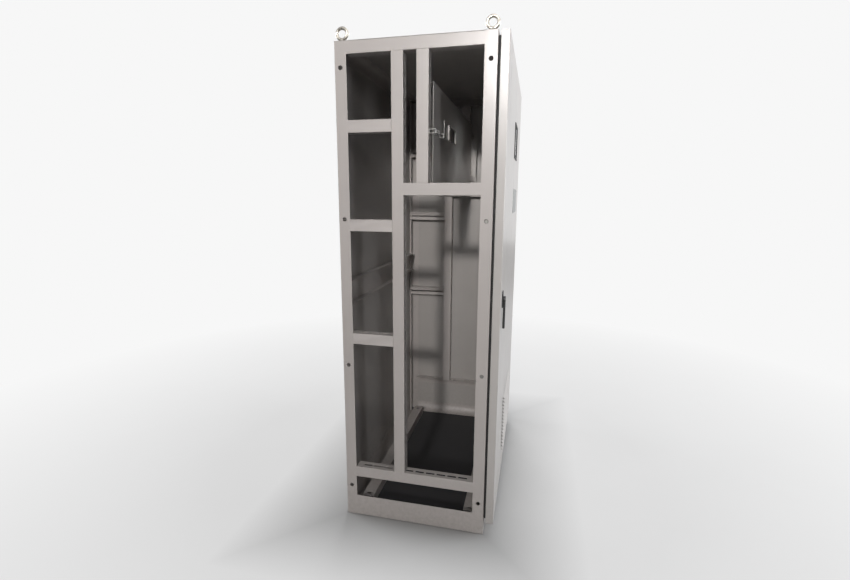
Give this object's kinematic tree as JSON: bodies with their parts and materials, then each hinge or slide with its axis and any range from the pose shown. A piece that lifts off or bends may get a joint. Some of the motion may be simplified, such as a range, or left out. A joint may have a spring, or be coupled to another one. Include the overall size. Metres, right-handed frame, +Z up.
{
  "type": "electrical switchboard cabinet",
  "caption": "Floor-standing steel switchboard section with a slotted side frame open for coupling, a full-height door with louvres and window, an inner panel and lifting eyes.",
  "frame": {"origin": "centre of the four floor anchor holes, on the floor", "axes": "+X from the open joining side to the closed side, +Y to the rear, +Z up; the door faces -Y"},
  "size_m": [1.206, 0.7143, 2.1614],
  "materials": {
    "frame_paint": "light grey powder coat, semi gloss",
    "cover_paint": "light grey powder coat, semi gloss",
    "door_paint": "light grey powder coat, glossy",
    "panel_paint": "light grey powder coat, semi gloss",
    "zinc_plate": "zinc plated",
    "bright_zinc": "bright plated",
    "blank_alloy": "satin",
    "black_plastic": "black, fine grain",
    "seal_rubber": "black",
    "clear_pane": "clear"
  },
  "bodies": {
    "cabinet": {"corner_post_front_open": "frame_paint", "corner_post_rear_open": "frame_paint", "corner_post_front_closed": "frame_paint", "corner_post_rear_closed": "frame_paint", "mid_post_open": "frame_paint", "mid_post_closed": "frame_paint", "upper_post_open": "frame_paint", "upper_post_closed": "frame_paint", "side_top_rail_open": "frame_paint", "side_top_rail_closed": "frame_paint", "side_bottom_rail_open": "frame_paint", "side_bottom_rail_closed": "frame_paint", "side_kick_rail_open": "frame_paint", "side_kick_rail_closed": "frame_paint", "rear_bay_rails_open": "frame_paint", "rear_bay_rails_closed": "frame_paint", "front_bay_rail_open": "frame_paint", "front_bay_rail_closed": "frame_paint", "front_top_rail": "frame_paint", "rear_top_rail": "frame_paint", "front_bottom_rail": "frame_paint", "front_kick_rail": "frame_paint", "rear_kick_rail": "frame_paint", "rear_mid_rail": "frame_paint", "base_beam_front": "frame_paint", "base_beam_rear": "frame_paint", "roof_panel": "cover_paint", "side_panel": "cover_paint", "rear_cover_lower": "cover_paint", "rear_cover_upper": "cover_paint", "inner_panel": "panel_paint", "cutout_frame": "panel_paint", "panel_hooks": "panel_paint", "base_bolts": "zinc_plate", "corner_gussets": "zinc_plate", "eyebolt_nuts": "zinc_plate", "threaded_inserts": "zinc_plate", "rear_cover_screws": "zinc_plate", "side_panel_screws": "zinc_plate", "slide_bolt_guides": "zinc_plate", "slide_bolt_keeper": "zinc_plate", "hinge_frame_leaves": "zinc_plate", "hinge_pins": "zinc_plate", "lifting_eyebolts": "bright_zinc"},
    "door": {"front_door": "door_paint", "door_stiffeners": "door_paint", "door_gasket": "seal_rubber", "window_seal": "seal_rubber", "window_pane": "clear_pane", "blank_plate": "blank_alloy", "hinge_door_leaves": "zinc_plate", "handle_base": "black_plastic", "rod_guides": "zinc_plate"},
    "handle": {"door_handle": "black_plastic", "handle_spindle": "zinc_plate", "lock_cam": "zinc_plate"},
    "upper_rod": {"upper_lock_rod": "zinc_plate"},
    "lower_rod": {"lower_lock_rod": "zinc_plate"},
    "panel_bolt": {"slide_bolt": "zinc_plate"}
  },
  "joints": [
    {"name": "door_hinge", "type": "hinge", "parent": "cabinet", "child": "door", "pos_m": [0.596, -0.33, 1.075], "axis": [0, 0, 1], "range_deg": [0, 110]},
    {"name": "handle_turn", "type": "hinge", "parent": "door", "child": "handle", "pos_m": [-0.523, -0.372, 1.073], "axis": [0, -1, 0], "range_deg": [0, 90]},
    {"name": "upper_rod_slide", "type": "slide", "parent": "door", "child": "upper_rod", "axis": [0, 0, 1], "range_m": [0, 0.025]},
    {"name": "lower_rod_slide", "type": "slide", "parent": "door", "child": "lower_rod", "axis": [0, 0, -1], "range_m": [0, 0.025]},
    {"name": "panel_bolt_slide", "type": "slide", "parent": "cabinet", "child": "panel_bolt", "axis": [-1, 0, 0], "range_m": [0, 0.035]}
  ],
  "couplings": [
    {"joint": "upper_rod_slide", "follows": "handle_turn", "m_per_rad": 0.0159},
    {"joint": "lower_rod_slide", "follows": "handle_turn", "m_per_rad": 0.0159}
  ]
}
